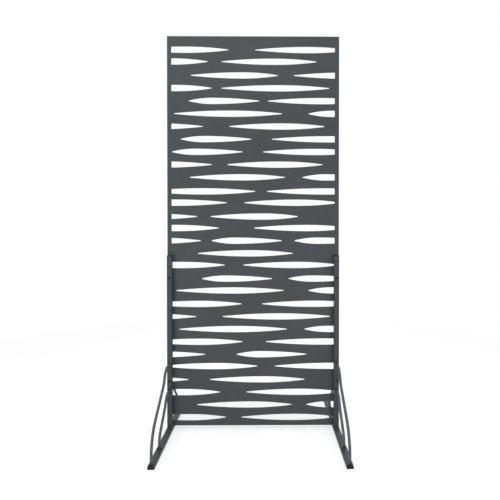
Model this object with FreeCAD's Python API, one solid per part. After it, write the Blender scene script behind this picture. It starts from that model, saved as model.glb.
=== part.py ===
import FreeCAD
import Part

import math
import os

from FreeCAD import Vector

# Free-standing garden privacy screen, in millimetres.
# X runs across the screen, +Y points to the back, +Z up, and Z = 0 is the ground.
# The uprights stand at the middle of the feet, in the plane Y = 0.
# The slotted sheet hangs on their back faces.

# ---------------------------------------------------------------- sheet panel
panel_width = 870.0
panel_height = 1974.0
sheet = 1.5                     # steel sheet thickness
flange_depth = 20.0             # how far the folded edges reach back
bend_radius = 1.5               # inside radius of the folds
corner_relief = 6.0             # square notch between two flanges, behind the folds

# ------------------------------------------------------------- slots in sheet
slot_height = 32.0
slot_tip_radius = 2.0
slot_row_pitch = 64.2
slot_first_row = 43.0           # lowest row above the sheet's lower edge
slot_top_band = 58.0            # least plain band above the highest row
slot_side_band = 22.0           # plain band that cuts the slots off at the sides
slot_corner_radius = 2.5        # corners of a slot that the side band cuts off

# Four leaf shapes, each with its length and where along it the leaf is widest.
slot_shapes = {
    "A": (355.0, 0.33),
    "B": (480.0, 0.56),
    "C": (545.0, 0.53),
    "D": (440.0, 0.60),
}

# Rows from the top down: each leaf's shape and its left tip from the centre line.
slot_rows = (
    (("B", -605), ("B", 10)),
    (("D", -670), ("B", -160)),
    (("D", -315), ("B", 205)),
    (("D", -650), ("C", -160)),
    (("A", -325), ("B", 75)),
    (("C", -400), ("A", 280)),
    (("C", -800), ("B", -120)),
    (("A", -365), ("C", 95)),
    (("A", -410), ("B", 50)),
    (("C", -755), ("B", -130)),
    (("B", -320), ("A", 250)),
    (("C", -535), ("C", 70)),
    (("C", -680), ("B", -45)),
    (("C", -830), ("D", -215)),
    (("B", -655), ("B", 5)),
    (("A", -620), ("A", -210), ("A", 210)),
    (("B", -280),),
    (("B", -625), ("B", -50)),
    (("A", -260), ("A", 180)),
    (("C", -390), ("A", 280)),
    (("B", -540), ("B", 45)),
    (("C", -835), ("C", -155)),
    (("C", -375), ("A", 260)),
    (("B", -535), ("C", 65)),
    (("C", -790), ("A", -85)),
    (("B", -460), ("C", 110)),
    (("C", -875), ("B", -220)),
    (("D", -610), ("B", -35)),
    (("B", -285), ("A", 270)),
    (("D", -580), ("B", -60)),
)

# Rows, counted from the top, that sit a little above (+) or below (-) the even pitch.
slot_row_lifts = {1: 5, 11: -7, 13: -6, 17: 5, 19: 4, 25: 4}

# ------------------------------------------------------------ feet and uprights
foot_length = 700.0             # over the end caps
foot_width = 30.0
foot_height = 15.0
foot_wall = 1.5
foot_corner = 2.0
post_side = 25.0
post_wall = 1.5
post_corner = 2.5
post_height = 866.0             # tube only, without its cap
panel_gap = 1.0                 # sheet above the feet

# ----------------------------------------------------------- plastic end plugs
cap_flange = 3.0
cap_round = 0.8
post_cap_bevel = 1.6
plug_length = 14.0
plug_gap = 0.2                  # plug to tube wall
plug_wall = 1.8
plug_corner = 0.6

# ---------------------------------------------------------------- curved braces
bar = 12.7                      # half-inch round bar
lug_thickness = 2.6             # bar pressed flat at both ends
lug_width = 18.5
lug_bend = 3.0                  # inside radius where a lug turns off the bar
lug_hole_run = 9.0              # bend to the bolt hole on the upright
tongue_hole_run = 12.0          # bend to the screw hole on the foot
taper_run = 12.0                # length of the change from round to flat
taper_split = 35.0              # angle above the bar's side where its flat faces begin
shoulder_radius = 60.0          # bend next to the upright, the same on every brace
shoulder_angle = 62.0
outer_axis_height = 338.0       # bar leaves the upright at this height
outer_neck = 26.0               # straight bar before the shoulder
outer_flank = 10.0              # straight bar after the shoulder
outer_sag_radius = 90.0
outer_sag_angle = 28.0
outer_knee_radius = 150.0
outer_margin = 8.0              # from the vertical end to the foot's end
inner_axis_height = 208.0
inner_neck = 10.0
inner_flank = 4.0
inner_sag_radius = 60.0
inner_sag_angle = 21.0
inner_knee_radius = 60.0
inner_landing = 211.0           # vertical end from the upright's centre plane

# -------------------------------------------------------------------- fasteners
bolt = 6.0                      # M6 through bolts
bolt_clearance = 0.3            # radial, in every hole a bolt passes
bolt_head = 10.6
bolt_head_height = 3.6
bolt_socket = 4.0               # across flats
bolt_socket_depth = 2.0
bolt_end = 2.0                  # thread showing behind the nut
head_dome = 0.6                 # share of a domed head's height that is rounded
tip_chamfer = 0.12              # share of a shank's diameter
nut_chamfer = 0.1               # share of a nut's height
nut_flats = 10.0
nut_height = 5.0
washer_outer = 12.0
washer_thickness = 1.6
panel_bolt_heights = (252.0, 771.0)
foot_screw = 4.8                # self-tapping screws in the feet
foot_screw_head = 9.5
foot_screw_head_height = 3.0
foot_screw_length = 8.0
foot_screw_clearance = 0.2
foot_bolt = 8.0                 # holds the upright down on the foot
foot_bolt_head = 13.0           # across flats
foot_bolt_head_height = 5.3
foot_bolt_reach = 14.0          # thread above the foot's upper wall
access_clearance = 1.5          # around the bolt head, for a socket spanner
insert_thickness = 12.0         # threaded block in the upright's lower end
thread_gap = 0.05
least_corner = 0.3              # inside corners of the tubes
over = 1.0                      # cutters run this far past what they cut
near = 0.01                     # edges this close to a plane lie in it

# ------------------------------------------------------------------ derived places
foot_half = foot_length / 2
foot_x = panel_width / 2 - foot_width / 2
post_half = post_side / 2
post_top = foot_height + post_height
panel_front = post_half
panel_inside = panel_front + sheet
panel_bottom = foot_height + panel_gap
panel_top = panel_bottom + panel_height
pattern_half = panel_width / 2 - slot_side_band
bar_radius = bar / 2
lug_centre = lug_bend + lug_thickness / 2
bolt_drop = lug_centre + lug_hole_run
outer_landing = foot_half - outer_margin
outer_bolt_height = outer_axis_height - bolt_drop
inner_bolt_height = inner_axis_height - bolt_drop
bolt_hole = bolt / 2 + bolt_clearance
foot_screw_hole = foot_screw / 2 + foot_screw_clearance
bolt_heights = panel_bolt_heights + (outer_bolt_height, inner_bolt_height)
under_wall = foot_height - foot_wall

SIDES = (("left", -1), ("right", 1))


def save(name, shape):
    shape.exportStep("parts/" + name + ".step")


def group(solids):
    return Part.makeCompound(solids) if len(solids) > 1 else solids[0]


def rounded_bar(width, depth, radius, start, length, axis):
    """Bar of rounded rectangular section; width and depth follow the two other axes."""
    block = Part.makeBox(width, depth, length, Vector(-width / 2, -depth / 2, 0))
    edges = [e for e in block.Edges if abs(e.tangentAt(e.FirstParameter).z) > 0.9]
    block = block.makeFillet(radius, edges)
    if axis == "y":
        block.rotate(Vector(0, 0, 0), Vector(1, 0, 0), -90)
    block.translate(start)
    return block


def tube(width, depth, wall, corner, start, length, axis):
    outer = rounded_bar(width, depth, corner, start, length, axis)
    bore_corner = max(corner - wall, least_corner)
    bore = rounded_bar(width - 2 * wall, depth - 2 * wall, bore_corner, start, length, axis)
    return outer.cut(bore)


def cylinder_y(radius, y_from, y_to, x, z):
    return Part.makeCylinder(radius, y_to - y_from, Vector(x, y_from, z), Vector(0, 1, 0))


def cylinder_z(radius, z_from, z_to, x, y):
    return Part.makeCylinder(radius, z_to - z_from, Vector(x, y, z_from))


def hexagon_corner(flats):
    """Distance from the middle of a hexagon to its corners."""
    return flats / 2 / math.cos(math.pi / 6)


def hexagon(flats, point, normal, height):
    """Hexagonal prism that starts at a point and runs along a normal."""
    corner = hexagon_corner(flats)
    turns = [math.radians(60 * i) for i in range(7)]
    points = [Vector(corner * math.cos(a), corner * math.sin(a), 0) for a in turns]
    prism = Part.Face(Part.makePolygon(points)).extrude(Vector(0, 0, height))
    prism.Placement = FreeCAD.Placement(point, FreeCAD.Rotation(Vector(0, 0, 1), normal))
    return prism


# ------------------------------------------------------------------- slotted sheet
def leaf(shape, tip_x, z):
    """Leaf-shaped cutter: four long arcs that are level at the widest point, two tips."""
    length, widest = slot_shapes[shape]
    crown = tip_x + widest * length
    half = slot_height / 2
    tip = slot_tip_radius

    def flank(end_x, side):
        run = abs(end_x - crown)
        rise = half - tip
        radius = (run * run + rise * rise) / (2 * rise)
        middle = crown + (end_x - crown) / 2
        drop = radius - math.sqrt(radius * radius - (run / 2) ** 2)
        return middle, side * (half - drop)

    def at(x, height):
        return Vector(x, panel_front - over, z + height)

    left = tip_x + tip
    right = tip_x + length - tip
    edges = [
        Part.Arc(at(left, tip), at(*flank(left, 1)), at(crown, half)),
        Part.Arc(at(crown, half), at(*flank(right, 1)), at(right, tip)),
        Part.Arc(at(right, tip), at(right + tip, 0), at(right, -tip)),
        Part.Arc(at(right, -tip), at(*flank(right, -1)), at(crown, -half)),
        Part.Arc(at(crown, -half), at(*flank(left, -1)), at(left, -tip)),
        Part.Arc(at(left, -tip), at(left - tip, 0), at(left, tip)),
    ]
    outline = Part.Wire([e.toShape() for e in edges])
    return Part.Face(outline).extrude(Vector(0, sheet + 2 * over, 0))


def side_cut_leaf(cutter):
    """Ends a leaf at the side bands with straight, slightly rounded ends."""
    box = cutter.BoundBox
    if box.XMin > -pattern_half and box.XMax < pattern_half:
        return cutter
    field = Part.makeBox(2 * pattern_half, sheet + 2 * over, slot_height,
                         Vector(-pattern_half, panel_front - over, box.Center.z - slot_height / 2))
    cutter = cutter.common(field)
    corners = [e for e in cutter.Edges if is_cut_corner(e)]
    heights = [e.BoundBox.ZMin for e in corners]
    shortest_end = max(heights) - min(heights)
    radius = min(slot_corner_radius, shortest_end / 3)
    return cutter.makeFillet(radius, corners)


def is_cut_corner(edge):
    """Straight edges through the sheet, at a side band, where the leaf is cut off."""
    first = edge.Vertexes[0].Point
    last = edge.Vertexes[-1].Point
    through = abs(first.x - last.x) < near and abs(first.z - last.z) < near
    return through and abs(abs(first.x) - pattern_half) < near


def slot_cutters():
    room = panel_height - slot_first_row - slot_top_band
    rows = int(room / slot_row_pitch) + 1
    cutters = []
    for row in range(rows):
        from_top = len(slot_rows) - 1 - row % len(slot_rows)
        lift = slot_row_lifts.get(from_top, 0)
        z = panel_bottom + slot_first_row + row * slot_row_pitch + lift
        for shape, tip_x in slot_rows[from_top]:
            if tip_x < pattern_half and tip_x + slot_shapes[shape][0] > -pattern_half:
                cutters.append(side_cut_leaf(leaf(shape, tip_x, z)))
    return cutters


def privacy_panel():
    """One sheet with leaf slots and all four edges folded back."""
    start = Vector(-panel_width / 2, panel_front, panel_bottom)
    blank = Part.makeBox(panel_width, flange_depth, panel_height, start)
    front = [e for e in blank.Edges if abs(e.BoundBox.YMax - panel_front) < near]
    blank = blank.makeFillet(bend_radius + sheet, front)
    inside = Part.makeBox(panel_width - 2 * sheet, flange_depth, panel_height - 2 * sheet,
                          start + Vector(sheet, sheet, sheet))
    front = [e for e in inside.Edges if abs(e.BoundBox.YMax - panel_inside) < near]
    panel = blank.cut(inside.makeFillet(bend_radius, front))
    behind_folds = panel_inside + bend_radius
    reliefs = []
    for x in (-panel_width / 2, panel_width / 2):
        for z in (panel_bottom, panel_top):
            corner = Vector(x - corner_relief, behind_folds, z - corner_relief)
            reliefs.append(Part.makeBox(2 * corner_relief, flange_depth, 2 * corner_relief, corner))
    holes = [cylinder_y(bolt_hole, panel_front - over, panel_inside + over, side * foot_x, z)
             for name, side in SIDES for z in bolt_heights]
    return panel.cut(reliefs + holes + slot_cutters())


# ------------------------------------------------------------- uprights and feet
def post(side):
    shape = tube(post_side, post_side, post_wall, post_corner,
                 Vector(side * foot_x, 0, foot_height), post_height, "z")
    return shape.cut([cylinder_y(bolt_hole, -post_half - over, post_half + over, side * foot_x, z)
                      for z in bolt_heights])


def post_insert(side):
    """Threaded block inside the upright's lower end."""
    size = post_side - 2 * post_wall
    block = rounded_bar(size, size, post_corner - post_wall, Vector(side * foot_x, 0, foot_height),
                        insert_thickness, "z")
    radius = foot_bolt / 2 + thread_gap
    top = foot_height + insert_thickness
    return block.cut(cylinder_z(radius, foot_height, top, side * foot_x, 0))


def foot_bolt_solid(side):
    """Hexagon bolt from inside the foot tube up into the insert."""
    shank_top = foot_height + foot_bolt_reach
    shank = cylinder_z(foot_bolt / 2, under_wall - foot_bolt_head_height, shank_top,
                       side * foot_x, 0)
    tip = [e for e in shank.Edges if abs(e.BoundBox.ZMin - shank_top) < near]
    shank = shank.makeChamfer(tip_chamfer * foot_bolt, tip)
    head = hexagon(foot_bolt_head, Vector(side * foot_x, 0, under_wall), Vector(0, 0, -1),
                   foot_bolt_head_height)
    return shank.fuse(head).removeSplitter()


def foot_screw_places():
    """Distances of the three lug holes from the upright's centre, front is negative."""
    inward = tongue_hole_run + lug_centre
    rear = panel_inside - post_half
    return inward - outer_landing, inward - inner_landing, inner_landing - inward + rear


def foot_tube(side):
    run = foot_length - 2 * cap_flange
    shape = tube(foot_width, foot_height, foot_wall, foot_corner,
                 Vector(side * foot_x, -run / 2, foot_height / 2), run, "y")
    head_room = hexagon_corner(foot_bolt_head) + access_clearance
    holes = [
        cylinder_z(foot_bolt / 2 + bolt_clearance, foot_wall, foot_height + over, side * foot_x, 0),
        cylinder_z(head_room, -over, under_wall - foot_bolt_head_height, side * foot_x, 0),
    ]
    for y in foot_screw_places():
        holes.append(cylinder_z(foot_screw_hole, foot_height / 2, foot_height + over,
                                side * foot_x, y))
    return shape.cut(holes)


# ------------------------------------------------------------------ plastic plugs
def plug(width, depth, wall, corner, flange_round):
    """Tube plug along +Z: a flange, and a hollow shank that goes down into the tube."""
    flange = rounded_bar(width, depth, corner, Vector(0, 0, 0), cap_flange, "z")
    rim = [e for e in flange.Edges if abs(e.BoundBox.ZMin - cap_flange) < near]
    flange = flange.makeFillet(flange_round, rim)
    shank_width = width - 2 * wall - 2 * plug_gap
    shank_depth = depth - 2 * wall - 2 * plug_gap
    shank = tube(shank_width, shank_depth, plug_wall, plug_corner, Vector(0, 0, -plug_length),
                 plug_length, "z")
    return flange.fuse(shank).removeSplitter()


def post_cap(side):
    shape = plug(post_side, post_side, post_wall, post_corner, post_cap_bevel)
    shape.translate(Vector(side * foot_x, 0, post_top))
    return shape


def foot_cap(side, end):
    """End is -1 at the front and 1 at the back."""
    shape = plug(foot_width, foot_height, foot_wall, foot_corner, cap_round)
    shape.rotate(Vector(0, 0, 0), Vector(1, 0, 0), -90 * end)
    shape.translate(Vector(side * foot_x, end * (foot_half - cap_flange), foot_height / 2))
    return shape


# ------------------------------------------------------------------------- braces
class BentBar:
    """Bar bent in the plane X = 0: out is the distance from the upright, up the height."""

    def __init__(self, out, up, heading, profile):
        self.out = out
        self.up = up
        self.heading = heading
        self.profile = profile
        self.solids = []

    def here(self):
        return Vector(0, -self.out, self.up)

    def start_face(self):
        return Part.Face(self.profile(self.here(), self.heading))

    def straight(self, run):
        a = math.radians(self.heading)
        face = self.start_face()
        self.solids.append(face.extrude(Vector(0, -run * math.cos(a), run * math.sin(a))))
        self.out += run * math.cos(a)
        self.up += run * math.sin(a)

    def bend(self, radius, turn):
        """A positive turn is to the left of the heading, a negative one to the right."""
        side = 1 if turn > 0 else -1
        a = math.radians(self.heading)
        centre_out = self.out - side * radius * math.sin(a)
        centre_up = self.up + side * radius * math.cos(a)
        face = self.start_face()
        centre = Vector(0, -centre_out, centre_up)
        self.solids.append(face.revolve(centre, Vector(-side, 0, 0), abs(turn)))
        self.heading += turn
        b = math.radians(self.heading)
        self.out = centre_out + side * radius * math.sin(b)
        self.up = centre_up - side * radius * math.cos(b)


def across(heading):
    """Direction in the plane of the bends that is square to the bar."""
    a = math.radians(heading)
    return Vector(0, math.sin(a), math.cos(a))


def bar_section(centre, heading):
    a = math.radians(heading)
    circle = Part.Circle(centre, Vector(0, -math.cos(a), math.sin(a)), bar_radius)
    return Part.Wire(circle.toShape())


def four_sided(centre, heading, corner, nose, crown):
    """Section with two broad sides and two noses, wide along X; all four sides may bulge."""
    side = Vector(corner[0], 0, 0)
    up = across(heading) * corner[1]
    tip = Vector(nose, 0, 0)
    top = across(heading) * crown
    right = Part.Arc(centre + side + up, centre + tip, centre + side - up).toShape()
    left = Part.Arc(centre - side - up, centre - tip, centre - side + up).toShape()
    if crown > corner[1]:
        upper = Part.Arc(centre - side + up, centre + top, centre + side + up).toShape()
        lower = Part.Arc(centre + side - up, centre - top, centre - side - up).toShape()
    else:
        upper = Part.makeLine(centre - side + up, centre + side + up)
        lower = Part.makeLine(centre + side - up, centre - side - up)
    return Part.Wire([upper, right, lower, left])


def taper_start(centre, heading):
    """The round bar in four arcs, so that each one runs into one side of the flat."""
    split = math.radians(taper_split)
    corner = (bar_radius * math.cos(split), bar_radius * math.sin(split))
    return four_sided(centre, heading, corner, bar_radius, bar_radius)


def flat_section(centre, heading):
    half = lug_thickness / 2
    return four_sided(centre, heading, (lug_width / 2 - half, half), lug_width / 2, half)


def pressed_end(bar_end, heading, turn, hole_run, hole_radius):
    """Taper, quarter bend and drilled tongue that continue a bar from its end point."""
    tongue = BentBar(-bar_end.y, bar_end.z, heading, flat_section)
    tongue.straight(taper_run)
    tongue.solids = []
    sections = [taper_start(bar_end, heading), flat_section(tongue.here(), heading)]
    taper = Part.makeLoft(sections, True, True)
    tongue.bend(lug_centre, turn)
    tongue.straight(hole_run)
    hole = tongue.here()
    normal = across(tongue.heading)
    half = normal * (lug_thickness / 2)
    edge = Vector(lug_width / 2 - lug_thickness / 2, 0, 0)
    nose = Part.Arc(hole + edge + half, hole + Vector(lug_width / 2, 0, 0), hole + edge - half)
    rim = Part.Wire([
        Part.makeLine(hole + half, hole + edge + half),
        nose.toShape(),
        Part.makeLine(hole + edge - half, hole - half),
        Part.makeLine(hole - half, hole + half),
    ])
    disc = Part.Face(rim).revolve(hole, normal, 360)
    bore = Part.makeCylinder(hole_radius, 2 * lug_thickness, hole - normal * lug_thickness, normal)
    return [taper, disc] + tongue.solids, bore


def brace(axis_height, neck, flank, sag_radius, sag_angle, knee_radius, landing):
    """Round bar: shoulder, sag and knee, then straight down; both tongues turn inward."""
    lug_run = lug_thickness / 2 + lug_centre + taper_run
    body = BentBar(post_half + lug_run, axis_height, 0.0, bar_section)
    start = body.here()
    body.straight(neck)
    body.bend(shoulder_radius, -shoulder_angle)
    body.straight(flank)
    body.bend(sag_radius, sag_angle)
    slope = math.radians(body.heading)
    knee_out = knee_radius * (1 + math.sin(slope))
    body.straight((landing - knee_out - body.out) / math.cos(slope))
    body.bend(knee_radius, -90 - body.heading)
    body.straight(body.up - foot_height - lug_run)
    top, top_bore = pressed_end(start, 180, 90, lug_hole_run, bolt_hole)
    foot, foot_bore = pressed_end(body.here(), -90, -90, tongue_hole_run, foot_screw_hole)
    solid = body.solids[0].fuse(body.solids[1:] + top + foot)
    return solid.cut([top_bore, foot_bore]).removeSplitter()


def outer_brace(side):
    """The tall brace, in front."""
    shape = brace(outer_axis_height, outer_neck, outer_flank, outer_sag_radius,
                  outer_sag_angle, outer_knee_radius, outer_landing)
    shape.translate(Vector(side * foot_x, 0, 0))
    return shape


def front_brace(side):
    """The short brace below the tall one."""
    shape = brace(inner_axis_height, inner_neck, inner_flank, inner_sag_radius,
                  inner_sag_angle, inner_knee_radius, inner_landing)
    shape.translate(Vector(side * foot_x, 0, 0))
    return shape


def rear_brace(side):
    """The short front brace again, turned to the back and bearing on the sheet."""
    shape = front_brace(side).mirror(Vector(0, 0, 0), Vector(0, 1, 0))
    shape.translate(Vector(0, panel_inside - post_half, 0))
    return shape


# ---------------------------------------------------------------------- fasteners
def through_bolt(x, z, head_y, nut_y):
    """Domed socket screw from the front; nut_y is the outer face of its nut."""
    head = cylinder_y(bolt_head / 2, head_y - bolt_head_height, head_y, x, z)
    rim = [e for e in head.Edges if abs(e.BoundBox.YMax - (head_y - bolt_head_height)) < near]
    head = head.makeFillet(head_dome * bolt_head_height, rim)
    socket = hexagon(bolt_socket, Vector(x, head_y - bolt_head_height, z), Vector(0, 1, 0),
                     bolt_socket_depth)
    shank = cylinder_y(bolt / 2, head_y, nut_y + bolt_end, x, z)
    tip = [e for e in shank.Edges if abs(e.BoundBox.YMin - (nut_y + bolt_end)) < near]
    shank = shank.makeChamfer(tip_chamfer * bolt, tip)
    return head.cut(socket).fuse(shank).removeSplitter()


def nut(x, z, seat_y):
    body = hexagon(nut_flats, Vector(x, seat_y, z), Vector(0, 1, 0), nut_height)
    corner = hexagon_corner(nut_flats)
    bevel = nut_chamfer * nut_height
    cone = Part.makeCone(corner - bevel + nut_height, corner - bevel, nut_height,
                         Vector(x, seat_y, z), Vector(0, 1, 0))
    bore = cylinder_y(bolt / 2 + thread_gap, seat_y - over, seat_y + nut_height + over, x, z)
    return body.common(cone).cut(bore)


def washer(x, z, seat_y):
    ring = cylinder_y(washer_outer / 2, seat_y, seat_y + washer_thickness, x, z)
    return ring.cut(cylinder_y(bolt_hole, seat_y - over, seat_y + washer_thickness + over, x, z))


def bolt_stacks():
    """Every through bolt: height, plane of its head, and plane its washer bears on."""
    front = -post_half
    stacks = {"panel": [(z, front, panel_inside) for z in panel_bolt_heights]}
    stacks["brace"] = [
        (outer_bolt_height, front - lug_thickness, panel_inside),
        (inner_bolt_height, front - lug_thickness, panel_inside + lug_thickness),
    ]
    return stacks


def foot_screws(side):
    solids = []
    seat = foot_height + lug_thickness
    for y in foot_screw_places():
        head = cylinder_z(foot_screw_head / 2, seat, seat + foot_screw_head_height,
                          side * foot_x, y)
        rim = [e for e in head.Edges
               if abs(e.BoundBox.ZMin - seat - foot_screw_head_height) < near]
        head = head.makeFillet(head_dome * foot_screw_head_height, rim)
        shank = cylinder_z(foot_screw / 2, seat - foot_screw_length, seat, side * foot_x, y)
        tip = [e for e in shank.Edges if abs(e.BoundBox.ZMax - seat + foot_screw_length) < near]
        shank = shank.makeChamfer(tip_chamfer * foot_screw, tip)
        solids.append(head.fuse(shank).removeSplitter())
    return group(solids)


# ---------------------------------------------------------------------- assembly
def main():
    os.makedirs("parts", exist_ok=True)
    save("privacy_panel", privacy_panel())
    for name, side in SIDES:
        x = side * foot_x
        save(name + "_post", post(side))
        save(name + "_post_insert", post_insert(side))
        save(name + "_post_cap", post_cap(side))
        save(name + "_foot_tube", foot_tube(side))
        save(name + "_foot_bolt", foot_bolt_solid(side))
        save(name + "_foot_front_cap", foot_cap(side, -1))
        save(name + "_foot_rear_cap", foot_cap(side, 1))
        save(name + "_outer_brace", outer_brace(side))
        save(name + "_front_brace", front_brace(side))
        save(name + "_rear_brace", rear_brace(side))
        save(name + "_foot_screws", foot_screws(side))
        washers = []
        for kind, stack in bolt_stacks().items():
            bolts = []
            nuts = []
            for z, head_y, washer_y in stack:
                nut_y = washer_y + washer_thickness
                bolts.append(through_bolt(x, z, head_y, nut_y + nut_height))
                nuts.append(nut(x, z, nut_y))
                washers.append(washer(x, z, washer_y))
            save(name + "_" + kind + "_bolts", group(bolts))
            save(name + "_" + kind + "_nuts", group(nuts))
        save(name + "_washers", group(washers))


main()
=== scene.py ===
"""Garden privacy screen: coats, plastics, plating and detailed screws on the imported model."""
import math

import bmesh
import bpy
from bpy.props import FloatProperty, FloatVectorProperty, PointerProperty
from mathutils import Matrix, Vector


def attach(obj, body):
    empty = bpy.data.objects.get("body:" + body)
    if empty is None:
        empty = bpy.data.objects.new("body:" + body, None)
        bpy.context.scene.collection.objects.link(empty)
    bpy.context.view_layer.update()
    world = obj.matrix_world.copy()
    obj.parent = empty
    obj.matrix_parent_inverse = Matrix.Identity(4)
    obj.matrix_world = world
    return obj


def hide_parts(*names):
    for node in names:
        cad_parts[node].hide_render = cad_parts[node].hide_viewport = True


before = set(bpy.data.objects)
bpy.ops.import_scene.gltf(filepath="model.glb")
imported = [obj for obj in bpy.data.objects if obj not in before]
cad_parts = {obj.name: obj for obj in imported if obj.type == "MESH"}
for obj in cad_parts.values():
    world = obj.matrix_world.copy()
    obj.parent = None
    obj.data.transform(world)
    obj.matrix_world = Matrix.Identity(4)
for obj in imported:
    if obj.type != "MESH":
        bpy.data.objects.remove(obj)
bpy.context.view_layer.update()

bl_info = {
    "name": "Garden Privacy Screen",
    "version": (1, 0, 0),
    "blender": (4, 5, 0),
    "location": "View3D > Sidebar > Screen",
    "description": "Finishes a slotted garden screen and makes its screws, stage and camera",
    "category": "Object",
}

SIDES = ("left", "right")
MM = 0.001


# ------------------------------------------------------------------ shader maths
class Value:
    """A number socket; arithmetic on it adds Math nodes to its tree."""

    def __init__(self, tree, socket):
        self.tree = tree
        self.socket = socket

    def join(self, operation, other):
        """Any other Math operation, by its name."""
        return self.tree.math(operation, self, other)

    def __add__(self, other):
        return self.tree.math("ADD", self, other)

    def __radd__(self, other):
        return self.tree.math("ADD", other, self)

    def __sub__(self, other):
        return self.tree.math("SUBTRACT", self, other)

    def __rsub__(self, other):
        return self.tree.math("SUBTRACT", other, self)

    def __mul__(self, other):
        return self.tree.math("MULTIPLY", self, other)

    def __rmul__(self, other):
        return self.tree.math("MULTIPLY", other, self)

    def clamp(self):
        return self.tree.math("ADD", self, 0.0, use_clamp=True)


class Tree:
    """A node tree that starts empty; every node in it comes from one method."""

    def __init__(self, owner):
        owner.use_nodes = True
        self.tree = owner.node_tree
        self.tree.nodes.clear()

    def node(self, kind, settings, inputs):
        made = self.tree.nodes.new(kind)
        for key, value in settings.items():
            setattr(made, key, value)
        for key, value in inputs.items():
            self.feed(made.inputs[key], value)
        return made

    def feed(self, socket, value):
        if isinstance(value, Value):
            value = value.socket
        if isinstance(value, bpy.types.NodeSocket):
            self.tree.links.new(value, socket)
        else:
            socket.default_value = value

    def math(self, operation, first, second, use_clamp=False):
        settings = {"operation": operation, "use_clamp": use_clamp}
        return Value(self, self.node("ShaderNodeMath", settings, {0: first, 1: second}).outputs[0])

    def seen(self):
        """One where the background shows: to the camera, in gloss and through glass."""
        rays = self.node("ShaderNodeLightPath", {}, {}).outputs
        camera, gloss, glass = (Value(self, rays["Is %s Ray" % kind])
                                for kind in ("Camera", "Glossy", "Transmission"))
        return camera.join("MAXIMUM", gloss).join("MAXIMUM", glass)

    def mixed(self, share, first, second):
        """A shader that goes from the first to the second as the share goes from 0 to 1."""
        return self.node("ShaderNodeMixShader", {}, {0: share, 1: first, 2: second}).outputs[0]


class Coat(Tree):
    """One material: a Principled shader and the nodes that vary it."""

    def __init__(self, name):
        self.material = bpy.data.materials.new(name)
        super().__init__(self.material)
        self.shader = self.node("ShaderNodeBsdfPrincipled", {}, {})
        self.output = self.node("ShaderNodeOutputMaterial", {}, {})
        self.surface(self.shader.outputs["BSDF"])

    def surface(self, shader):
        """Shows this shader, in place of one that was shown before."""
        self.feed(self.output.inputs["Surface"], shader)

    def place(self, scale=(1.0, 1.0, 1.0)):
        """Object coordinates in metres, stretched by scale."""
        where = self.node("ShaderNodeTexCoord", {}, {}).outputs["Object"]
        return self.node("ShaderNodeMapping", {}, {"Vector": where, "Scale": scale}).outputs[0]

    def noise(self, place, size, detail=2.0, rough=0.5):
        """Cloudy noise whose lumps are about size metres wide."""
        inputs = {"Vector": place, "Scale": 1.0 / size, "Detail": detail, "Roughness": rough}
        return Value(self, self.node("ShaderNodeTexNoise", {}, inputs).outputs["Fac"])

    def cells(self, place, size):
        """One random value per cell, for crystal spangle."""
        made = self.node("ShaderNodeTexVoronoi", {"feature": "F1"},
                         {"Vector": place, "Scale": 1.0 / size, "Randomness": 1.0})
        split = self.node("ShaderNodeSeparateColor", {}, {"Color": made.outputs["Color"]})
        return Value(self, split.outputs[0])

    def between(self, value, low, high):
        """Zero below low, one above high, smooth from one to the other."""
        settings = {"interpolation_type": "SMOOTHSTEP", "clamp": True}
        inputs = {"Value": value, "From Min": low, "From Max": high}
        return Value(self, self.node("ShaderNodeMapRange", settings, inputs).outputs["Result"])

    def upward(self):
        """One on faces that look up, zero on walls and undersides."""
        normal = self.node("ShaderNodeNewGeometry", {}, {}).outputs["Normal"]
        split = self.node("ShaderNodeSeparateXYZ", {}, {"Vector": normal})
        return self.between(Value(self, split.outputs["Z"]), low=0.25, high=0.95)

    def blend(self, share, first, second):
        """A colour that goes from the first to the second as the share goes from 0 to 1."""
        # On a Mix node set to colour, sockets 6 and 7 take the colours and 2 gives the result.
        inputs = {0: share, 6: first, 7: second}
        return self.node("ShaderNodeMix", {"data_type": "RGBA"}, inputs).outputs[2]

    def bump(self, height, depth):
        made = self.node("ShaderNodeBump", {},
                         {"Strength": 1.0, "Distance": depth, "Height": height})
        self.feed(self.shader.inputs["Normal"], made.outputs["Normal"])

    def set(self, **values):
        for key, value in values.items():
            self.feed(self.shader.inputs[key.replace("_", " ")], value)


def tint(colour, factor=1.0):
    """A colour made lighter or darker by a factor, with its alpha."""
    return tuple(min(1.0, c * factor) for c in colour[:3]) + (1.0,)


# --------------------------------------------------------------------- finishes
# How far each pattern moves the colour of a finish (1 leaves it as it is), and how strongly.
CLOUD_TINTS = (0.93, 1.07)
SPECK_TINT, SPECK_SHARE = 1.5, 0.35
SCUFF_TINT, SCUFF_SHARE = 3.5, 0.35
RUBBED_TINT, RUBBED_SHARE = 2.6, 0.5
SPANGLE_TINT, SPANGLE_SHARE = 0.72, 0.25

MEAN = 0.5                      # mean of a noise, which leaves the roughness as it is
RUBBED_METAL = 0.35             # how metallic a rubbed place is
PLASTIC_DEPTH = 0.00006         # depth of the grain in the plugs
FILM_DEPTH = 0.00002            # depth of the grain in the black film
PLATE_DEPTH = 0.00002           # depth of the marks in the plating


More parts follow.
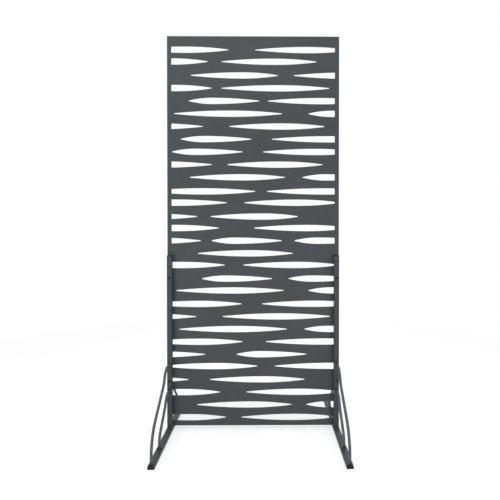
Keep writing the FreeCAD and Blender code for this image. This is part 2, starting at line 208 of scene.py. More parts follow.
def powder_coat(name, look, roughness, shade):
    """Polyester powder on steel: orange peel, fine grain, faint clouds, pale patches on upward
    faces that are partly settled dust and partly painted top light, and a shade factor that paints
    light or shade.
    """
    coat = Coat(name)
    # Scaled by shade: this paints shade or light into one powder's colour, darker on the tubes
    # (painted shade) and lighter on the braces (painted light).
    paint_with_painted_light = tint(look.coat_colour, shade)
    place = coat.place()
    clouds = coat.noise(place, size=0.22, detail=3.0)
    blotches = coat.noise(place, size=0.035)
    peel = coat.noise(place, size=look.peel_size)
    grain = coat.noise(place, size=look.grain_size, detail=1.0)
    # Pale patches on upward faces: partly settled dust, partly painted light from above that
    # lightens top faces.
    top_patch_noise = coat.noise(place, size=0.011, detail=4.0, rough=0.62)
    dust_and_top_light = coat.upward() * coat.between(top_patch_noise, low=0.42, high=0.72)
    cloud = coat.between(clouds * 0.65 + blotches * 0.35, low=0.32, high=0.68)
    specks = coat.between(grain, low=0.62, high=0.74)
    base = coat.blend(cloud, *(tint(paint_with_painted_light, factor) for factor in CLOUD_TINTS))
    base = coat.blend(specks * SPECK_SHARE, base, tint(paint_with_painted_light, SPECK_TINT))
    # Lightens those upward patches towards the pale colour: dust and painted top light.
    base = coat.blend(dust_and_top_light * look.dust_and_top_light, base, tint(look.dust_and_top_light_colour))
    rough = roughness + (blotches - MEAN) * 0.12 + (grain - MEAN) * 0.08 + dust_and_top_light * 0.12
    coat.bump(peel * 0.75 + grain * 0.25, look.peel_depth)
    coat.set(Base_Color=base, Roughness=rough.clamp(), Metallic=0.0, IOR=1.5,
             Specular_IOR_Level=look.coat_specular)
    return coat.material


def moulded_plastic(name, look):
    """Black plug plastic with a spark-eroded grain and slight grey scuffs."""
    coat = Coat(name)
    grain = coat.noise(coat.place(), size=0.0007, detail=3.0, rough=0.6)
    streaks = coat.noise(coat.place(scale=(1.0, 0.25, 1.0)), size=0.004, detail=4.0, rough=0.7)
    scuffs = coat.between(streaks, low=0.60, high=0.80)
    base = coat.blend(scuffs * SCUFF_SHARE, tint(look.plastic_colour),
                      tint(look.plastic_colour, SCUFF_TINT))
    rough = look.plastic_roughness + (grain - MEAN) * 0.25 + scuffs * 0.10
    coat.bump(grain, PLASTIC_DEPTH)
    coat.set(Base_Color=base, Roughness=rough.clamp(), Metallic=0.0,
             Specular_IOR_Level=look.black_specular)
    return coat.material


def blackened_steel(name, look):
    """Black screws: thin dark film, paler, smoother and more metallic where it is rubbed."""
    coat = Coat(name)
    place = coat.place()
    film = coat.noise(place, size=0.0016, detail=3.0, rough=0.6)
    wear = coat.noise(place, size=0.005, detail=3.0, rough=0.65)
    rubbed = coat.between(wear, low=0.55, high=0.78)
    base = coat.blend(rubbed * RUBBED_SHARE, tint(look.black_colour),
                      tint(look.black_colour, RUBBED_TINT))
    rough = look.black_roughness + (film - MEAN) * 0.22 - rubbed * 0.08
    coat.bump(film, FILM_DEPTH)
    coat.set(Base_Color=base, Roughness=rough.clamp(), Metallic=rubbed * RUBBED_METAL,
             Specular_IOR_Level=look.black_specular)
    return coat.material


def zinc_plate(name, look):
    """Bright zinc: small spangle, turning marks and a faint yellow cast."""
    coat = Coat(name)
    place = coat.place()
    spangle = coat.cells(place, size=0.0019)
    marks = coat.noise(coat.place(scale=(1.0, 9.0, 1.0)), size=0.004, detail=3.0, rough=0.7)
    cast = coat.between(coat.noise(place, size=0.006), low=0.35, high=0.65)
    base = coat.blend(cast, tint(look.zinc_colour), tint(look.cast_colour))
    base = coat.blend(spangle * SPANGLE_SHARE, base, tint(look.zinc_colour, SPANGLE_TINT))
    rough = look.zinc_roughness + spangle * 0.14 + (marks - MEAN) * 0.12
    coat.bump(marks * 0.6 + spangle * 0.4, PLATE_DEPTH)
    coat.set(Base_Color=base, Roughness=rough.clamp(), Metallic=1.0)
    return coat.material


FINISHES = {
    # One powder for all three; the last number paints shade on the tubes and light on the braces.
    "coated_sheet": lambda name, look: powder_coat(name, look, look.sheet_roughness, 1.0),
    "coated_tube": lambda name, look: powder_coat(name, look, look.tube_roughness,
                                                  look.tube_painted_shade),
    "coated_bar": lambda name, look: powder_coat(name, look, look.bar_roughness, look.bar_painted_light),
    "black_plastic": moulded_plastic,
    "black_steel": blackened_steel,
    "zinc_steel": zinc_plate,
}


def finish(kind):
    """The finish of that name, made the first time that it is asked for."""
    name = "screen_" + kind
    return (bpy.data.materials.get(name)
            or FINISHES[kind](name, bpy.context.scene.screen_finish))


def refinish(kind, *nodes):
    """Gives CAD nodes, whose meshes stay as they are, the finish of that name."""
    for node in nodes:
        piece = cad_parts[node]
        if not piece.material_slots:
            piece.data.materials.append(finish(kind))
        for place in piece.material_slots:
            place.material = finish(kind)


# --------------------------------------------------------------------- fasteners
ROUND = 48                      # steps of a full turn, a multiple of 12
WELD = 1e-7                     # points closer than this are merged, in metres
NEAR = 1e-6                     # points closer than this count as the same, in metres
CREASE = math.radians(35)       # sharper edges are shaded hard

THREAD_DEPTH = 0.61             # share of the pitch
# One turn of thread: height over the root, as a share of the depth, and share of the pitch.
THREAD_PROFILE = ((0, 0.0), (0, 0.12), (1, 0.44), (1, 0.56), (0, 0.88), (0, 1.0))

DOME = 0.6                      # share of a head's height that is rounded
DOME_STEP = 10                  # degrees
HEAD_BREAK = 0.06 * MM          # broken edge under a head
BOLT_NECK = 0.1 * MM            # plain shank below the radius over the thread
SOCKET_MOUTH = 1.12             # bevelled mouth against the socket's flats
SOCKET_BEVEL = 0.2 * MM         # depth of that bevel
SOCKET_POINT = 0.35 * MM        # depth of the hollow in the socket's floor
SOCKET_POINT_WIDTH = 0.35       # share of the socket's flats
SCREW_NECK = 0.72               # plain shank against the radius over the thread
SCREW_NECK_END = 1.6 * MM       # below the head
SCREW_THREAD_START = 0.8 * MM   # below the head
RECESS_REACH = 0.48             # share of the head's radius
RECESS_TAPER = 0.5              # width of the recess's floor against its mouth

NUT_CIRCLE = 0.475              # radius where the chamfer starts, share of the flats
NUT_CHAMFER = math.radians(30)
NUT_GAP = 0.05 * MM             # bore over the bolt's thread
NUT_SINK = 0.35 * MM            # countersink of the bore
WASHER_GAP = 0.3 * MM           # hole over the bolt's thread
WASHER_SOFT = 0.25 * MM         # edge that the punch drew in
WASHER_SOFT_MIDDLE = 0.3        # share of that edge at its middle point
WASHER_CRISP = 0.08 * MM        # other edges


def edges_in(things):
    """The edges among the parts of a mesh."""
    return [thing for thing in things if isinstance(thing, bmesh.types.BMEdge)]


class Turning:
    """A small part on the Z axis: turned surfaces, pressed recesses and rolled threads."""

    def __init__(self):
        self.bm = bmesh.new()

    def spin(self, profile, closed=False, turns=1, **options):
        """Spins points of radius and height round the axis."""
        points = [self.bm.verts.new((radius, 0, height)) for radius, height in profile]
        pairs = list(zip(points, points[1:])) + ([(points[-1], points[0])] if closed else [])
        edges = [self.bm.edges.new(pair) for pair in pairs]
        bmesh.ops.spin(self.bm, geom=points + edges, cent=(0, 0, 0), axis=(0, 0, 1),
                       angle=2 * math.pi * turns, steps=ROUND * turns, **options)
        bmesh.ops.remove_doubles(self.bm, verts=self.bm.verts[:], dist=WELD)

    def turn(self, profile, closed=False):
        """A turned surface, once round the axis."""
        self.spin(profile, closed, use_merge=True)

    def ring(self, radius, height):
        """Edges of the turned circle at that radius and height."""
        def on(point):
            return abs(point.co.xy.length - radius) < NEAR and abs(point.co.z - height) < NEAR
        return [edge for edge in self.bm.edges if all(on(point) for point in edge.verts)]

    def divide(self, edges, parts):
        """Cuts each edge of an outline into that many parts.
        Known fault: the edges that it gives back are only the first part of each, so what
        is joined to them stays partly open. The result's geom_split has all the parts."""
        bmesh.ops.subdivide_edges(self.bm, edges=edges, cuts=parts - 1)
        return edges

    def hexagon(self, flats, height):
        """A hexagon of edges, with as many points as a turned circle."""
        corner = flats / 2 / math.cos(math.pi / 6)
        points = bmesh.ops.create_circle(self.bm, segments=6, radius=corner,
                                         matrix=Matrix.Translation((0, 0, height)))["verts"]
        edges = list({edge for point in points for edge in point.link_edges})
        return self.divide(edges, ROUND // 6)

    def cross(self, reach, height):
        """The outline of a cross whose arms are a third as wide as the cross."""
        points = bmesh.ops.create_grid(self.bm, x_segments=3, y_segments=3, size=reach,
                                       matrix=Matrix.Translation((0, 0, height)))["verts"]
        faces = {face for point in points for face in point.link_faces}

        def corner(face):
            """True for a face that lies off both arms."""
            middle = face.calc_center_median()
            return min(abs(middle.x), abs(middle.y)) > reach / 3

        bmesh.ops.delete(self.bm, geom=[face for face in faces if corner(face)],
                         context="FACES")
        faces = [face for face in faces if face.is_valid]
        inner = {edge for face in faces for edge in face.edges if len(edge.link_faces) == 2}
        outline = list({edge for face in faces for edge in face.edges} - inner)
        bmesh.ops.delete(self.bm, geom=list(inner), context="EDGES_FACES")
        return self.divide(outline, ROUND // 12)

    def sink(self, edges, depth, scale=1.0):
        """Extrudes an outline down by a depth, drawing it in by a scale."""
        made = bmesh.ops.extrude_edge_only(self.bm, edges=edges)["geom"]
        points = [thing for thing in made if isinstance(thing, bmesh.types.BMVert)]
        bmesh.ops.scale(self.bm, vec=(scale, scale, 1), verts=points)
        bmesh.ops.translate(self.bm, vec=(0, 0, -depth), verts=points)
        return edges_in(made)

    def join(self, one, other):
        bmesh.ops.bridge_loops(self.bm, edges=one + other)

    def close(self, edges):
        bmesh.ops.edgeloop_fill(self.bm, edges=edges)

    def thread(self, radius, pitch, low, high):
        """A rolled thread, cut square at both ends. It comes before the other surfaces."""
        depth = THREAD_DEPTH * pitch
        start = low - pitch
        self.spin([(radius - depth + share * depth, start + along * pitch)
                   for share, along in THREAD_PROFILE],
                  turns=math.ceil((high - low) / pitch) + 2, dvec=(0, 0, pitch / ROUND))
        for height, way in ((low, -1), (high, 1)):
            everything = self.bm.verts[:] + self.bm.edges[:] + self.bm.faces[:]
            cut = bmesh.ops.bisect_plane(self.bm, geom=everything, dist=WELD,
                                         plane_co=(0, 0, height), plane_no=(0, 0, way),
                                         clear_outer=True)
            self.close(edges_in(cut["geom_cut"]))

    def settle(self, target, place, tilt=0.0):
        """Shades the part, tilts it about X, sets it in its place and adds it to a bmesh."""
        bm = self.bm
        bmesh.ops.recalc_face_normals(bm, faces=bm.faces[:])
        for face in bm.faces:
            face.smooth = True
        for edge in bm.edges:
            edge.smooth = len(edge.link_faces) == 2 and edge.calc_face_angle() < CREASE
        bmesh.ops.transform(bm, verts=bm.verts[:],
                            matrix=Matrix.Translation(place) @ Matrix.Rotation(tilt, 4, "X"))
        spare = bpy.data.meshes.new("spare")
        bm.to_mesh(spare)
        bm.free()
        target.from_mesh(spare)
        bpy.data.meshes.remove(spare)


def solids_of(node):
    """Lowest and highest corner of each separate solid of a CAD node."""
    bm = bmesh.new()
    bm.from_mesh(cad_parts[node].data)
    bmesh.ops.remove_doubles(bm, verts=bm.verts[:], dist=NEAR)
    waiting = set(bm.verts)
    boxes = []
    while waiting:
        reached = [waiting.pop()]
        island = []
        while reached:
            point = reached.pop()
            island.append(point.co.copy())
            beside = {edge.other_vert(point) for edge in point.link_edges} & waiting
            waiting -= beside
            reached.extend(beside)
        boxes.append(tuple(Vector(pick(co[i] for co in island) for i in range(3))
                           for pick in (min, max)))
    bm.free()
    return boxes


def domed_head(part, radius, height, shank_radius, shank_end):
    """Head from its flat top over the dome and under to the shank, whose end is closed.
    Returns the rim of the flat top, which is still open."""
    dome = DOME * height
    crown = radius - dome
    arc = [math.radians(angle) for angle in range(0, 91, DOME_STEP)]
    profile = [(crown + dome * math.sin(a), height - dome * (1 - math.cos(a))) for a in arc]
    profile += [(radius, HEAD_BREAK), (radius - HEAD_BREAK, 0.0), (shank_radius, 0.0),
                (shank_radius, -shank_end), (0.0, -shank_end)]
    part.turn(profile)
    return part.ring(crown, height)


def socket_screw(target, box, sizes):
    """Domed screw with a hexagon socket, from the front; its threaded end stands free."""
    low, high = box
    head = sizes.head_height
    seat = low.y + head
    length = high.y - seat
    part = Turning()
    part.thread(sizes.bolt_radius, sizes.bolt_pitch, -length, -length + sizes.bolt_threaded)
    rim = domed_head(part, (high.x - low.x) / 2, head, sizes.bolt_radius - BOLT_NECK,
                     length - sizes.bolt_threaded + sizes.bolt_pitch)
    mouth = part.hexagon(sizes.socket_flats * SOCKET_MOUTH, head)
    part.join(rim, mouth)
    wall = part.sink(mouth, SOCKET_BEVEL, 1 / SOCKET_MOUTH)
    floor = part.sink(wall, sizes.socket_depth - SOCKET_BEVEL)
    part.close(part.sink(floor, SOCKET_POINT, SOCKET_POINT_WIDTH))
    middle = (low + high) / 2
    part.settle(target, (middle.x, seat, middle.z), math.pi / 2)


def cross_screw(target, box, sizes):
    """Self-tapping screw with a cross recess, from above."""
    low, high = box
    radius = (high.x - low.x) / 2
    head = sizes.screw_head_height
    seat = high.z - head
    part = Turning()
    part.thread(sizes.screw_radius, sizes.screw_pitch, low.z - seat, -SCREW_THREAD_START)
    rim = domed_head(part, radius, head, SCREW_NECK * sizes.screw_radius, SCREW_NECK_END)
    mouth = part.cross(RECESS_REACH * radius, head)
    part.join(rim, mouth)
    part.close(part.sink(mouth, sizes.recess_depth, RECESS_TAPER))
    middle = (low + high) / 2
    part.settle(target, (middle.x, middle.y, seat))


def hexagon_nut(target, box, sizes):
    """Nut with both faces chamfered to a circle and a countersunk bore."""
    low, high = box
    height = high.y - low.y
    flats = (high.x - low.x) * math.cos(math.pi / 6)
    circle = NUT_CIRCLE * flats
    bore = sizes.bolt_radius + NUT_GAP
    part = Turning()
    part.turn([(circle, height), (bore + NUT_SINK, height), (bore, height - NUT_SINK),
               (bore, NUT_SINK), (bore + NUT_SINK, 0.0), (circle, 0.0)])
    outlines = []
    for face, way in ((height, -1), (0.0, 1)):
        edges = part.hexagon(flats, face)
        for point in {point for edge in edges for point in edge.verts}:
            point.co.z += way * (point.co.xy.length - circle) * math.tan(NUT_CHAMFER)
        part.join(part.ring(circle, face), edges)
        outlines.append(edges)
    part.join(*outlines)
    middle = (low + high) / 2
    part.settle(target, (middle.x, low.y, middle.z), -math.pi / 2)


def punched_washer(target, box, sizes):
    """Washer with a rounded edge where the punch went in and a crisp one behind."""
    low, high = box
    outer = (high.x - low.x) / 2
    thick = high.y - low.y
    bore = sizes.bolt_radius + WASHER_GAP
    half_way = WASHER_SOFT_MIDDLE * WASHER_SOFT
    part = Turning()
    part.turn([(bore + WASHER_CRISP, 0.0), (outer - WASHER_CRISP, 0.0), (outer, WASHER_CRISP),
               (outer, thick - WASHER_SOFT), (outer - half_way, thick - half_way),
               (outer - WASHER_SOFT, thick), (bore + WASHER_CRISP, thick),
               (bore, thick - WASHER_CRISP), (bore, WASHER_CRISP)], closed=True)
    middle = (low + high) / 2
    part.settle(target, (middle.x, low.y, middle.z), -math.pi / 2)


def add_object(name, bm):
    """A new object in the scene, made of a bmesh."""
    mesh = bpy.data.meshes.new(name)
    bm.to_mesh(mesh)
    bm.free()
    made = bpy.data.objects.new(name, mesh)
    bpy.context.scene.collection.objects.link(made)
    return made


def make_fasteners(name, kind, maker, node):
    """One piece that stands for a CAD node of like fasteners."""
    bm = bmesh.new()
    for box in solids_of(node):
        maker(bm, box, bpy.context.scene.screen_fasteners)
    piece = add_object(name, bm)
    piece.data.materials.append(finish(kind))
    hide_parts(node)
    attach(piece, "root")


# ------------------------------------------------------------------------- stage
# Each lamp's name, place, target, width and height, and the setting that holds its power.
LAMPS = (
    ("key_lamp", (-0.9, -2.6, 3.4), (0, 0, 1.4), (2.4, 1.6), "key_power"),
    ("overhead_lamp", (0, -0.2, 4.2), (0, -0.2, 0), (3.0, 2.0), "overhead_power"),
    ("left_fill", (-2.0, -2.2, 0.5), (0, 0, 0.1), (1.6, 0.8), "fill_power"),
    ("right_fill", (2.0, -2.2, 0.5), (0, 0, 0.1), (1.6, 0.8), "fill_power"),
    ("back_lamp", (0.6, 2.8, 2.6), (0, 0, 1.0), (2.4, 2.0), "fill_power"),
)


def pale_world(stage):
    """White where it shows, and otherwise a plain even light on the object."""
    world = bpy.data.worlds.new("pale_studio")
    bpy.context.scene.world = world
    sky = Tree(world)
    lit, white = (sky.node("ShaderNodeBackground", {}, {"Color": (1, 1, 1, 1), "Strength": level})
                  for level in (stage.world_light, 1.0))
    both = sky.mixed(sky.seen(), lit.outputs[0], white.outputs[0])
    sky.node("ShaderNodeOutputWorld", {}, {"Surface": both})


def pale_floor(stage):
    """Round floor: painted and shaded near the object, plain white further out."""
    bm = bmesh.new()
    bmesh.ops.create_circle(bm, cap_ends=True, segments=96, radius=stage.floor_radius)
    floor = add_object("studio_floor", bm)
    coat = Coat("floor_paint")
    coat.set(Base_Color=tint(stage.floor_colour), Roughness=0.9, Specular_IOR_Level=0.1)
    away = coat.node("ShaderNodeVectorMath", {"operation": "LENGTH"}, {0: coat.place()})
    far = coat.between(Value(coat, away.outputs["Value"]),
                       low=stage.shade_radius, high=stage.white_radius)
    seen = coat.seen()
    glow = coat.node("ShaderNodeEmission", {}, {"Strength": seen * stage.floor_glow})
    near = coat.node("ShaderNodeAddShader", {},
                     {0: coat.shader.outputs["BSDF"], 1: glow.outputs[0]})
    white = coat.node("ShaderNodeEmission", {}, {"Strength": 1.0})
    coat.surface(coat.mixed(seen * far, near.outputs[0], white.outputs[0]))
    floor.data.materials.append(coat.material)


def area_light(name, place, target, size, power):
    """A rectangular lamp that looks at its target and doesn't show itself."""
    lamp = bpy.data.lights.new(name, "AREA")
    lamp.shape = "RECTANGLE"
    lamp.size, lamp.size_y = size
    lamp.energy = power
    holder = bpy.data.objects.new(name, lamp)
    aim = (Vector(target) - Vector(place)).to_track_quat("-Z", "Y")
    holder.matrix_world = Matrix.Translation(place) @ aim.to_matrix().to_4x4()
    holder.visible_camera = False
    bpy.context.scene.collection.objects.link(holder)


# -------------------------------------------------------------------- properties
class FinishSettings(bpy.types.PropertyGroup):
    coat_colour: FloatVectorProperty(
        name="Powder colour", description="Anthracite of the sheet, tubes and braces",
        subtype="COLOR", size=3, min=0.0, max=1.0, default=(0.052, 0.058, 0.066))
    coat_specular: FloatProperty(
        name="Coat gloss", description="Strength of the coat's reflection", default=0.40,
        min=0.0, max=1.0, subtype="FACTOR")
    sheet_roughness: FloatProperty(
        name="Sheet roughness", description="Roughness of the slotted sheet", default=0.55,
        min=0.0, max=1.0, subtype="FACTOR")
    tube_roughness: FloatProperty(
        name="Tube roughness", description="Roughness of uprights and feet", default=0.50,
        min=0.0, max=1.0, subtype="FACTOR")
    bar_roughness: FloatProperty(
        name="Bar roughness", description="Roughness of the braces", default=0.42,
        min=0.0, max=1.0, subtype="FACTOR")
    # Painted shade: darkens the tubes' coat against the sheet's, though both are the same powder.
    tube_painted_shade: FloatProperty(
        name="Tube shade", description="Colour of the tubes against that of the sheet",
        default=0.74, min=0.0, max=3.0, subtype="FACTOR")
    # Painted light: lightens the braces' coat against the sheet's, standing in for light from above
    # on the same powder.
    bar_painted_light: FloatProperty(
        name="Bar shade", description="Colour of the braces against that of the sheet",
        default=1.45, min=0.0, max=3.0, subtype="FACTOR")
    peel_size: FloatProperty(
        name="Orange peel size", description="Width of the coat's soft ripples", default=0.0022,
        min=0.0002, subtype="DISTANCE", unit="LENGTH")
    peel_depth: FloatProperty(
        name="Orange peel depth", description="Depth of the coat's soft ripples", default=0.00009,
        min=0.0, subtype="DISTANCE", unit="LENGTH", precision=6)
    grain_size: FloatProperty(
        name="Grain size", description="Width of the coat's finest grain", default=0.0006,
        min=0.0001, subtype="DISTANCE", unit="LENGTH", precision=5)
    # Dust and painted top light: the share by which upward faces are lightened towards the pale
    # colour.
    dust_and_top_light: FloatProperty(
        name="Dust", description="Share of upward faces that dust covers", default=0.26,
        min=0.0, max=1.0, subtype="FACTOR")
    dust_and_top_light_colour: FloatVectorProperty(
        name="Dust colour", description="Pale dust on upward faces", subtype="COLOR", size=3,
        min=0.0, max=1.0, default=(0.30, 0.30, 0.29))
    plastic_colour: FloatVectorProperty(
        name="Plug colour", description="Black of the plastic plugs", subtype="COLOR", size=3,
        min=0.0, max=1.0, default=(0.006, 0.006, 0.007))
    plastic_roughness: FloatProperty(
        name="Plug roughness", description="Roughness of the plastic plugs", default=0.50,
        min=0.0, max=1.0, subtype="FACTOR")
    black_colour: FloatVectorProperty(
        name="Screw colour", description="Black film on the screws", subtype="COLOR", size=3,
        min=0.0, max=1.0, default=(0.007, 0.007, 0.008))
    black_roughness: FloatProperty(
        name="Screw roughness", description="Roughness of the black film", default=0.40,
        min=0.0, max=1.0, subtype="FACTOR")
    black_specular: FloatProperty(
        name="Black gloss", description="Strength of reflection on plugs and screws", default=0.25,
        min=0.0, max=1.0, subtype="FACTOR")
    zinc_colour: FloatVectorProperty(
        name="Zinc colour", description="Plating of nuts and washers", subtype="COLOR", size=3,
        min=0.0, max=1.0, default=(0.60, 0.61, 0.63))
    cast_colour: FloatVectorProperty(
        name="Zinc cast", description="Yellower patches in the plating", subtype="COLOR", size=3,
        min=0.0, max=1.0, default=(0.62, 0.60, 0.52))
    zinc_roughness: FloatProperty(
        name="Zinc roughness", description="Roughness of the plating", default=0.30,
        min=0.0, max=1.0, subtype="FACTOR")


class FastenerSettings(bpy.types.PropertyGroup):
    head_height: FloatProperty(
        name="Bolt head", description="Height of a bolt's domed head", default=0.0036,
        min=0.0005, subtype="DISTANCE", unit="LENGTH", precision=5)
    socket_flats: FloatProperty(
        name="Socket", description="Hexagon socket, across flats", default=0.004,
        min=0.0005, subtype="DISTANCE", unit="LENGTH", precision=5)
    socket_depth: FloatProperty(
        name="Socket depth", description="Depth of the hexagon socket", default=0.002,
        min=0.0003, subtype="DISTANCE", unit="LENGTH", precision=5)
    bolt_radius: FloatProperty(
        name="Bolt radius", description="Radius over the bolt's thread", default=0.003,
        min=0.0005, subtype="DISTANCE", unit="LENGTH", precision=5)
    bolt_pitch: FloatProperty(
        name="Bolt pitch", description="Pitch of the bolt's thread", default=0.001,
        min=0.0002, subtype="DISTANCE", unit="LENGTH", precision=5)
    bolt_threaded: FloatProperty(
        name="Bolt thread", description="Length of thread at the bolt's end", default=0.010,
        min=0.001, subtype="DISTANCE", unit="LENGTH", precision=5)
    screw_head_height: FloatProperty(
        name="Screw head", description="Height of a foot screw's head", default=0.003,
        min=0.0005, subtype="DISTANCE", unit="LENGTH", precision=5)
    screw_radius: FloatProperty(
        name="Screw radius", description="Radius over the foot screw's thread", default=0.0024,
        min=0.0005, subtype="DISTANCE", unit="LENGTH", precision=5)
    screw_pitch: FloatProperty(
        name="Screw pitch", description="Pitch of the foot screw's thread", default=0.0016,
        min=0.0002, subtype="DISTANCE", unit="LENGTH", precision=5)
    recess_depth: FloatProperty(
        name="Recess depth", description="Depth of the cross recess", default=0.0018,
        min=0.0003, subtype="DISTANCE", unit="LENGTH", precision=5)


class StageSettings(bpy.types.PropertyGroup):
    floor_radius: FloatProperty(
        name="Floor radius", description="Size of the studio floor", default=14.0, min=2.0,
        subtype="DISTANCE", unit="LENGTH")
    floor_colour: FloatVectorProperty(
        name="Floor colour", description="Paint of the studio floor", subtype="COLOR", size=3,
        min=0.0, max=1.0, default=(0.88, 0.88, 0.88))
    floor_glow: FloatProperty(
        name="Floor glow", description="Light added to the floor where it shows",
        default=0.50, min=0.0, max=1.0, subtype="FACTOR")
    shade_radius: FloatProperty(
        name="Shade radius", description="How far out the floor keeps the object's shadow",
        default=1.1, min=0.1, subtype="DISTANCE", unit="LENGTH")
    white_radius: FloatProperty(
        name="White radius", description="How far out the floor is plain white",
        default=3.3, min=0.2, subtype="DISTANCE", unit="LENGTH")
    world_light: FloatProperty(
        name="World light", description="Even light from all round", default=0.24, min=0.0,
        subtype="FACTOR")
    key_power: FloatProperty(
        name="Key light", description="Power of the large lamp above and in front",
        default=27.0, min=0.0, unit="POWER")
    overhead_power: FloatProperty(
        name="Overhead light", description="Power of the lamp that looks straight down",
        default=50.0, min=0.0, unit="POWER")
    fill_power: FloatProperty(
        name="Fill light", description="Power of each low lamp and of the one behind", default=18.0,
        min=0.0, unit="POWER")


SENSOR_WIDTH = 36.0             # millimetres


class CameraSettings(bpy.types.PropertyGroup):
    place: FloatVectorProperty(
        name="Place", description="Where the camera stands", size=3, subtype="TRANSLATION",
        unit="LENGTH", default=(0.0645, -2.0608, 0.9936))
    pitch: FloatProperty(
        name="Pitch", description="How far the camera looks down", subtype="ANGLE",
        unit="ROTATION", default=math.radians(0.621))
    yaw: FloatProperty(
        name="Yaw", description="How far the camera looks to the right", subtype="ANGLE",
        unit="ROTATION", default=math.radians(0.423))
    lens: FloatProperty(
        name="Lens", description="Focal length on a 36 mm sensor", default=29.43, min=1.0,
        subtype="DISTANCE_CAMERA", unit="CAMERA")
    shift: FloatVectorProperty(
        name="Shift", description="Shift of the frame, as a share of its width", size=2,
        default=(-0.03796, -0.0239))


# --------------------------------------------------------------------- operators
class SCREEN_OT_coat_panel(bpy.types.Operator):
    """Powder coats the slotted sheet"""
    bl_idname = "screen.coat_panel"
    bl_label = "Coat Panel"

    def execute(self, context):
        refinish("coated_sheet", "privacy_panel")
        return {"FINISHED"}


class SCREEN_OT_coat_tubes(bpy.types.Operator):
    """Powder coats the uprights and feet"""
    bl_idname = "screen.coat_tubes"
    bl_label = "Coat Tubes"

    def execute(self, context):
        for side in SIDES:
            refinish("coated_tube", side + "_post", side + "_foot_tube")
        return {"FINISHED"}


class SCREEN_OT_coat_braces(bpy.types.Operator):
    """Powder coats the curved braces"""
    bl_idname = "screen.coat_braces"
    bl_label = "Coat Braces"

    def execute(self, context):
        for side in SIDES:
            for brace in ("_outer_brace", "_front_brace", "_rear_brace"):
                refinish("coated_bar", side + brace)
        return {"FINISHED"}


class SCREEN_OT_finish_plugs(bpy.types.Operator):
    """Gives the tube plugs their grained plastic"""
    bl_idname = "screen.finish_plugs"
    bl_label = "Finish Plugs"

    def execute(self, context):
        for side in SIDES:
            for plug in ("_post_cap", "_foot_front_cap", "_foot_rear_cap"):
                refinish("black_plastic", side + plug)
        return {"FINISHED"}


class SCREEN_OT_plate_blocks(bpy.types.Operator):
    """Plates the hidden bolt and threaded block in each upright"""
    bl_idname = "screen.plate_blocks"
    bl_label = "Plate Blocks"

    def execute(self, context):
        for side in SIDES:
            refinish("zinc_steel", side + "_post_insert", side + "_foot_bolt")
        return {"FINISHED"}


class SCREEN_OT_make_bolts(bpy.types.Operator):
    """Makes the socket screws of the sheet and of the braces"""
    bl_idname = "screen.make_bolts"
    bl_label = "Make Bolts"

    def execute(self, context):
        for side in SIDES:
            for node in (side + "_panel_bolts", side + "_brace_bolts"):
                make_fasteners(node + "_threaded", "black_steel", socket_screw, node)
        return {"FINISHED"}


class SCREEN_OT_make_foot_screws(bpy.types.Operator):
    """Makes the cross-recess screws that hold the braces to the feet"""
    bl_idname = "screen.make_foot_screws"
    bl_label = "Make Foot Screws"

    def execute(self, context):
        for side in SIDES:
            node = side + "_foot_screws"
            make_fasteners(node + "_threaded", "black_steel", cross_screw, node)
        return {"FINISHED"}


class SCREEN_OT_make_nuts(bpy.types.Operator):
    """Makes the nuts behind the sheet"""
    bl_idname = "screen.make_nuts"
    bl_label = "Make Nuts"

    def execute(self, context):
        for side in SIDES:
            for node in (side + "_panel_nuts", side + "_brace_nuts"):
                make_fasteners(node + "_chamfered", "zinc_steel", hexagon_nut, node)
        return {"FINISHED"}


class SCREEN_OT_make_washers(bpy.types.Operator):
    """Makes the washers under the nuts"""
    bl_idname = "screen.make_washers"
    bl_label = "Make Washers"

    def execute(self, context):
        for side in SIDES:
            node = side + "_washers"
            make_fasteners(node + "_punched", "zinc_steel", punched_washer, node)
        return {"FINISHED"}


class SCREEN_OT_build_stage(bpy.types.Operator):
    """Makes the pale floor, the world and the lamps"""
    bl_idname = "screen.build_stage"
    bl_label = "Build Stage"

    def execute(self, context):
        stage = context.scene.screen_stage
        context.scene.view_settings.view_transform = "Standard"
        pale_world(stage)
        pale_floor(stage)
        for name, place, target, size, power in LAMPS:
            area_light(name, place, target, size, getattr(stage, power))
        return {"FINISHED"}


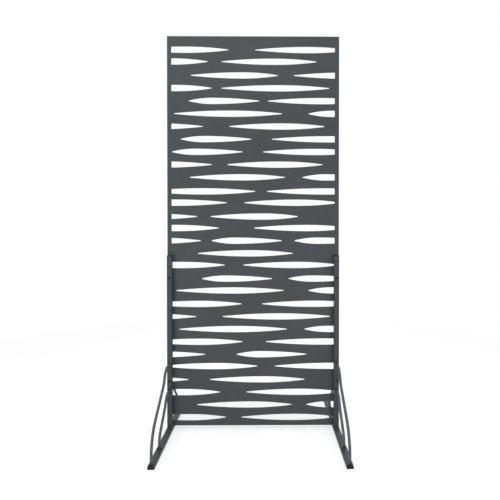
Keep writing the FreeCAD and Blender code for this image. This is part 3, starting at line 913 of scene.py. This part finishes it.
class SCREEN_OT_place_camera(bpy.types.Operator):
    """Places the camera at the viewing angle"""
    bl_idname = "screen.place_camera"
    bl_label = "Place Camera"

    def execute(self, context):
        view = context.scene.screen_camera
        lens = bpy.data.cameras.new("view_camera")
        lens.sensor_width = SENSOR_WIDTH
        lens.lens = view.lens
        lens.shift_x, lens.shift_y = view.shift
        camera = bpy.data.objects.new("view_camera", lens)
        camera.location = view.place
        camera.rotation_euler = (math.pi / 2 - view.pitch, 0.0, -view.yaw)
        context.scene.collection.objects.link(camera)
        context.scene.camera = camera
        return {"FINISHED"}


STEPS = (
    SCREEN_OT_coat_panel,
    SCREEN_OT_coat_tubes,
    SCREEN_OT_coat_braces,
    SCREEN_OT_finish_plugs,
    SCREEN_OT_plate_blocks,
    SCREEN_OT_make_bolts,
    SCREEN_OT_make_foot_screws,
    SCREEN_OT_make_nuts,
    SCREEN_OT_make_washers,
    SCREEN_OT_build_stage,
    SCREEN_OT_place_camera,
)


class SCREEN_PT_sidebar(bpy.types.Panel):
    """Buttons for each step"""
    bl_idname = "SCREEN_PT_sidebar"
    bl_label = "Garden Screen"
    bl_space_type = "VIEW_3D"
    bl_region_type = "UI"
    bl_category = "Screen"

    def draw(self, context):
        for step in STEPS:
            self.layout.operator(step.bl_idname)
        for name, group in GROUPS.items():
            box = self.layout.box()
            for key in group.__annotations__:
                box.prop(getattr(context.scene, name), key)


GROUPS = {
    "screen_finish": FinishSettings,
    "screen_fasteners": FastenerSettings,
    "screen_stage": StageSettings,
    "screen_camera": CameraSettings,
}
CLASSES = (*GROUPS.values(), *STEPS, SCREEN_PT_sidebar)


def register():
    for kind in CLASSES:
        bpy.utils.register_class(kind)
    for name, group in GROUPS.items():
        setattr(bpy.types.Scene, name, PointerProperty(type=group))


def unregister():
    for name in reversed(GROUPS):
        delattr(bpy.types.Scene, name)
    for kind in reversed(CLASSES):
        bpy.utils.unregister_class(kind)


def main():
    register()
    for step in STEPS:
        group, name = step.bl_idname.split(".")
        getattr(getattr(bpy.ops, group), name)()


if __name__ == "__main__":
    main()
